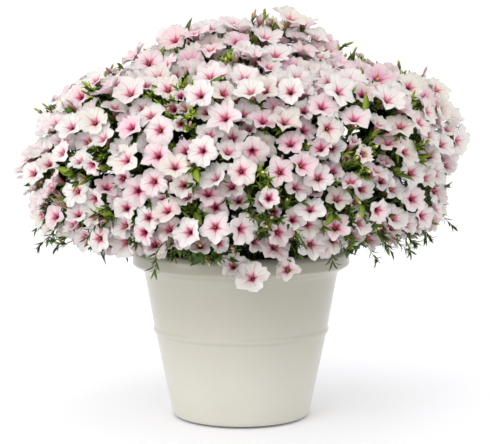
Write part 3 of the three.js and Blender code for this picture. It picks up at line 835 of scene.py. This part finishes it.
def grow_sprig(greens, foot, outward, number):
    """A thin shoot with needle leaves that hangs out from under the blooms, where there is a way out."""
    level = Vector((outward.x, outward.y, 0)).normalized()
    aside = Vector((-level.y, level.x, 0)) * between(-0.6, 0.6, draw(98, number))
    length = between(36, 54, draw(90, number)) * MM
    for drop in (0.35, 0.7, 1.2):
        heading = (level + aside - UP * drop).normalized()
        end = foot + heading * length + UP * (0.1 * length)
        if (clear_tip(foot, end) - foot).length > 0.97 * (end - foot).length:
            break
    else:
        return
    controls = [foot, foot + heading * (0.6 * length), end]
    grow_rod(greens, shoot_template, controls, STALK_RADIUS, 0.6 * STALK_RADIUS, fresh_and_shade=0.3)
    pair = {"count": 2, "length": 21 * MM, "lean": (0.6, 1.8), "fresh_and_shade": (0.0, 0.2), "narrow": NEEDLE}
    last = {"count": 4, "length": 20 * MM, "lean": (0.3, 1.4), "fresh_and_shade": (0.0, 0.3), "narrow": NEEDLE}
    for k in range(SPRIG_NODES):
        share = (k + 1.5) / (SPRIG_NODES + 1)
        spot = bezier(controls, share)
        ahead = (spot - bezier(controls, share - 0.1)).normalized()
        grow_tuft(greens, spot, ahead, number * 6 + k, **pair)
    grow_tuft(greens, end, heading, number + 600, **last)


def room_at(point):
    """How far a place near the mound's face is from the nearest limb that could cover it."""
    room = 2 * YOUNG_REACH
    near = [all_blooms[place] for _, place, _ in bloom_tree.find_range(point, COVER_SEARCH)]
    for bloom in near + young_blooms:
        apart = point - bloom["neck"]
        rise = apart.dot(bloom["facing"])
        if COVER_RISE[0] < rise < COVER_RISE[1]:
            room = min(room, (apart - bloom["facing"] * rise).length - bloom["reach"])
    return room


def grow_young(petals, greens, fork, place, outward, reach, number):
    """A young bloom, smaller than the rest, that opens in a gap."""
    side, high = square_to(outward, UP)
    turns = [TURN * (k + draw(94, number)) / LOBES for k in range(LOBES)]
    bloom = {
        "centre": place,
        "out": outward,
        "spokes": [ray(side, high, turn) * reach for turn in turns],
        "neck": place - outward * (NECK_DEPTH * MM),
        "facing": (outward + side * (0.7 * draw(95, number) - 0.15)).normalized(),
        "reach": reach,
    }
    bloom["toward"] = (fork - bloom["neck"]).normalized()
    young_blooms.append(bloom)
    grow_bloom(petals, bloom, number)
    base = bloom["neck"] + bloom["toward"] * TUBE_LENGTH
    grow_calyx(greens, base, bloom["toward"], number)
    grow_rod(greens, shoot_template, [fork, fork.lerp(base, 0.6), base], SHOOT_RADIUS, STALK_RADIUS)


def fill_gaps(petals, greens, shape, number):
    """Young blooms and leafy shoots that come up in the gaps between the blooms."""
    tops = [bloom["centre"] for bloom in shape.blooms]
    tops += [shape.points[organ["tip"]] for organ in shape.leaves + shape.buds]
    fork = shape.stem[-1]
    for i, a in enumerate(tops):
        for j, b in enumerate(tops[:i]):
            seed = number * 300 + i * 12 + j
            place = a.lerp(b, between(0.3, 0.7, draw(91, seed)))
            outward = (place - fork).normalized()
            place -= outward * (between(4, 14, draw(92, seed)) * MM)
            low = place.z < LOW_LEVEL
            room = room_at(place)
            if (a - b).length > FURTHEST_GAP or room < (-6 if low else -4) * MM:
                continue
            if room > (7 if low else 4) * MM:
                reach = min(YOUNG_REACH, room + 4 * MM)
                grow_young(petals, greens, fork, place, outward, reach, seed)
                continue
            if any((place - other).length < SHOOT_SPACING for other in gap_shoots):
                continue
            gap_shoots.append(place)
            foot = place - outward * ((2 if low else 8) * MM)
            grow_rod(greens, shoot_template, [fork, fork.lerp(foot, 0.6), foot], SHOOT_RADIUS, STALK_RADIUS)
            # Low gap shoots keep a duller tint: painted shade under the mound
            leaves = {"count": 6, "length": 23 * MM, "lean": (0.0, 1.3), "fresh_and_shade": (0.0, 0.45 if low else 1.0)}
            grow_tuft(greens, foot, outward, seed, **leaves)
            if not low and draw(93, seed) < 0.3:
                grow_side_bud(greens, foot, outward, seed)


def grow_side_bud(greens, foot, outward, number):
    """A young bud that stands beside a bloom, on a stalk of its own."""
    aside = ray(*square_to(outward, UP), draw(76, number) * ANY_ANGLE)
    heading = (outward + aside * 0.75).normalized()
    whole = 50 * MM
    end = foot + heading * whole
    if end.z > CROWN_LEVEL or (clear_tip(foot, end) - foot).length < 0.99 * whole:
        return
    neck = foot + heading * (18 * MM)
    grow_rod(greens, shoot_template, [foot, neck], STALK_RADIUS, STALK_RADIUS, fresh_and_shade=0.6)
    tip = neck + heading * (between(20, 28, draw(77, number)) * MM)
    grow_spindle(greens, neck, tip, number)
    grow_calyx(greens, neck, -heading, number + 3000)


def grow_core(greens, shape, number):
    """The leafy inside of a spray: leaves all over its core, turned outwards."""
    fork = shape.stem[-1]
    roots = [organ["root"] for organ in shape.blooms + shape.leaves + shape.buds]
    for k in range(CORE_LEAVES):
        seed = number * CORE_LEAVES + k
        root = roots[int(draw(80, seed) * len(roots)) % len(roots)]
        corner = shape.points[root[int(draw(81, seed) * 3) % 3]]
        seat = shape.middle(root).lerp(corner, draw(82, seed))
        outward = (seat - fork).normalized()
        depth = draw(83, seed)
        foot = fork.lerp(seat, between(1.0, 0.55, depth))
        aside = ray(*square_to(outward, UP), draw(84, seed) * ANY_ANGLE)
        lean = between(0.4, 2.2, draw(85, seed))
        length = LEAF_LENGTH * between(0.7, 1.15, draw(86, seed))
        tip = clear_tip(foot, foot + (outward + aside * lean).normalized() * length)
        width = length * (between(0.32, 0.5, draw(87, seed)) + 0.15 * depth)
        if (tip - foot).length > 0.4 * length:
            # Deeper leaves, and more so low on the mound, take a darker tint: painted shade inside the mound
            shade = -depth * between(1.0, 0.3, raised(foot))
            shaped = {"fresh_and_shade": shade, "arch": 0.1, "widest": 0.42}
            grow_blade(greens, leaf_template, foot, tip, outward, width, BLADE_THICKNESS, **shaped)


def grow_inside(greens, shape, number):
    """Leaves along the upper half of the stem, which fill the mound's inside, darkened with painted shade."""
    high = shape.stem[-1]
    low = high.lerp(shape.stem[0], 0.5)
    for k in range(INNER_LEAVES):
        seed = number * INNER_LEAVES + k
        foot = low.lerp(high, draw(88, seed) ** 0.6)
        turn, tilt = draw(89, seed) * TURN, between(-0.5, 0.9, draw(96, seed))
        heading = Vector((math.cos(turn), math.sin(turn), tilt)).normalized()
        length = between(44, 72, draw(97, seed)) * MM
        tip = clear_tip(foot, foot + heading * length)
        width = 0.42 * (tip - foot).length
        if width > 10 * MM:
            # The darkest tint: painted shade inside the mound
            shaped = {"fresh_and_shade": -1.0, "arch": 0.15, "widest": 0.5}
            grow_blade(greens, sepal_template, foot, tip, UP, width, BLADE_THICKNESS, **shaped)


def grow_stigma(greens, bloom, number):
    """The small knob in the middle of a bloom's throat."""
    low, high = (bloom["neck"] + bloom["facing"] * (rise * MM) for rise in STIGMA_RISE)
    fresh_and_shade = 1.0 if draw(67, number) < LIGHT_STIGMA_SHARE else -0.4
    shaped = {"width": STIGMA_WIDTH, "thickness": STIGMA_WIDTH, "fresh_and_shade": fresh_and_shade, "arch": 0.0, "widest": 0.75}
    grow_blade(greens, sepal_template, low, high, bloom["spokes"][0], **shaped)


def grow_spray(node, shape, number):
    """One spray's two pieces, its petals and its greens."""
    petals = Piece(f"{node}_petals", ("limb", "cast"))
    greens = Piece(f"{node}_greens", ("blade",))
    for seed, bloom in enumerate(shape.blooms, number * ORGANS):
        grow_bloom(petals, bloom, seed)
        base = bloom["neck"] + bloom["toward"] * TUBE_LENGTH
        grow_calyx(greens, base, bloom["toward"], seed)
        grow_shoot(greens, shape, shape.middle(bloom["root"]), base, bloom["toward"], seed)
        grow_stigma(greens, bloom, seed)
        if draw(65, seed) < SIDE_BUD_SHARE and bloom["centre"].z > TRAILING_LEVEL:
            grow_side_bud(greens, base, -bloom["toward"], seed)
    for seed, bud in enumerate(shape.buds, number * ORGANS):
        grow_bud(greens, shape, bud, seed)
    for seed, leaf in enumerate(shape.leaves, number * ORGANS):
        grow_leaf(greens, shape, leaf, seed)
    fill_gaps(petals, greens, shape, number)
    for seed, bloom in enumerate(shape.blooms, number * ORGANS):
        if TRAILING_LEVEL < bloom["centre"].z < SPRIG_LEVEL and draw(66, seed) < SPRIG_SHARE:
            grow_sprig(greens, bloom["neck"], bloom["facing"], seed)
    grow_core(greens, shape, number)
    grow_inside(greens, shape, number)
    grow_rod(greens, stem_template, shape.stem, *STEM_RADII, fresh_and_shade=0.1)
    petals.finish(petal_finish, "petals", node)
    greens.finish(green_finish, "foliage", node)


# Pot and soil


def rounded(corners):
    """A profile whose corners (radius, height, fillet) are rounded by arcs of four steps."""
    points = [Vector(corner[:2]) for corner in corners]
    line = []
    for k, (point, corner) in enumerate(zip(points, corners)):
        fillet = corner[2]
        if not fillet:
            line.append(tuple(point))
            continue
        before, after = points[k - 1] - point, points[k + 1] - point
        reach = min(fillet, before.length * 0.45, after.length * 0.45)
        ends = [point + before.normalized() * reach, point, point + after.normalized() * reach]
        line += [tuple(bezier([Vector(p) for p in ends], step / 4)) for step in range(5)]
    return line


def build_pot():
    """The glazed pot: foot, outer wall with its ring, cove, rolled lip and inner wall."""
    lip, top, mid = LIP_RADIUS, POT_HEIGHT, RING_HEIGHT
    profile = rounded(
        [
            (0, 4 * MM, 0),
            (104 * MM, 4 * MM, 2 * MM),
            (108 * MM, 0, 2 * MM),
            (111 * MM, 0, 1 * MM),
            (112 * MM, 3.4 * MM, 1 * MM),
            (125.5 * MM, 4.2 * MM, 1 * MM),
            (128.2 * MM, 9 * MM, 3 * MM),
            (158.0 * MM, mid - 7 * MM, 3 * MM),
            (161.9 * MM, mid - 3 * MM, 2.5 * MM),
            (162.6 * MM, mid + 2.5 * MM, 2 * MM),
            (160.8 * MM, mid + 6 * MM, 3 * MM),
            (176.0 * MM, 256 * MM, 8 * MM),
            (179.3 * MM, 271 * MM, 8 * MM),
            (194.5 * MM, 279.5 * MM, 4 * MM),
            (lip, 284 * MM, 3 * MM),
            (lip - 0.6 * MM, top - 8 * MM, 5 * MM),
            (lip - 7 * MM, top, 6 * MM),
            (lip - 17 * MM, top - 1 * MM, 5 * MM),
            (lip - 21 * MM, top - 8 * MM, 5 * MM),
            (171 * MM - WALL, 256 * MM, 6 * MM),
            (152 * MM - WALL, mid, 4 * MM),
            (122 * MM, 10 * MM, 4 * MM),
            (0, 10 * MM, 0),
        ]
    )
    return finished(spun(profile, POT_SIDES), "glazed_pot", glaze_finish, "pot", "pot")


def build_soil():
    """The soil's surface, a low crowned heap with crumbs."""
    shares = [(SOIL_RINGS - k) / SOIL_RINGS for k in range(SOIL_RINGS + 1)]
    heap = [(SOIL_RADIUS * share, SOIL_LEVEL - SOIL_CROWN * share**2) for share in shares]
    bottom = SOIL_LEVEL - SOIL_DEPTH
    bm = spun([(0, bottom), (SOIL_RADIUS, bottom), *heap], SOIL_SIDES)
    for k, vert in enumerate(bm.verts):
        if vert.co.z > bottom + SOIL_DEPTH / 2:
            vert.co.z += (draw(90, k) - 0.75) * CRUMB_SIZE
    return finished(bm, "potting_soil_top", soil_finish, "soil", "soil")


build_pot()
build_soil()
shapes = {node: SprayShape(node) for node in sorted(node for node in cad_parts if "spray" in node)}
all_blooms = []
for number, shape in enumerate(shapes.values()):
    for seed, bloom in enumerate(shape.blooms, number * ORGANS):
        pose_bloom(shape, bloom, seed)
        all_blooms.append(bloom)
bloom_tree = KDTree(len(all_blooms))
for place, bloom in enumerate(all_blooms):
    bloom_tree.insert(bloom["neck"], place)
bloom_tree.balance()
young_blooms, gap_shoots = [], []
for number, (node, shape) in enumerate(shapes.items()):
    grow_spray(node, shape, number)


# Studio


def build_floor():
    bm = bmesh.new()
    bmesh.ops.create_circle(bm, cap_ends=True, segments=64, radius=FLOOR_RADIUS)
    mesh = bpy.data.meshes.new("studio_floor")
    bm.to_mesh(mesh)
    bm.free()
    mesh.materials.append(floor_finish)
    floor = bpy.data.objects.new("studio_floor", mesh)
    bpy.context.scene.collection.objects.link(floor)


def add_light(name, place, aim, size, power):
    light = bpy.data.lights.new(name, "AREA")
    light.shape = "RECTANGLE"
    light.size, light.size_y = size
    light.energy = power
    lamp = bpy.data.objects.new(name, light)
    lamp.location = place
    lamp.rotation_euler = (Vector(aim) - Vector(place)).to_track_quat("-Z", "Y").to_euler()
    bpy.context.scene.collection.objects.link(lamp)


def build_studio():
    build_floor()
    add_light("key_light", place=(-1.2, -2.5, 2.3), aim=(0, 0, 0.35), size=(1.8, 1.8), power=27)
    add_light("fill_light", place=(-1.9, -1.3, 0.4), aim=(0, 0, 0), size=(1.0, 0.6), power=7)
    world = bpy.data.worlds.new("studio")
    bpy.context.scene.world = world
    world.use_nodes = True
    world.node_tree.nodes["Background"].inputs["Color"].default_value = (1, 1, 1, 1)
    world.node_tree.nodes["Background"].inputs["Strength"].default_value = WORLD_STRENGTH
    bpy.context.scene.view_settings.view_transform = "Standard"
    camera = bpy.data.cameras.new("camera")
    camera.sensor_width = SENSOR
    camera.lens = FOCAL_PIXELS / PICTURE_WIDTH * SENSOR
    camera.shift_x = (PICTURE_WIDTH / 2 - AXIS_COLUMN) / PICTURE_WIDTH
    eye = bpy.data.objects.new("camera", camera)
    eye.location = (0, -CAMERA_DISTANCE, CAMERA_HEIGHT)
    eye.rotation_euler = (math.pi / 2 - CAMERA_PITCH, 0, 0)
    bpy.context.scene.collection.objects.link(eye)
    bpy.context.scene.camera = eye


build_studio()
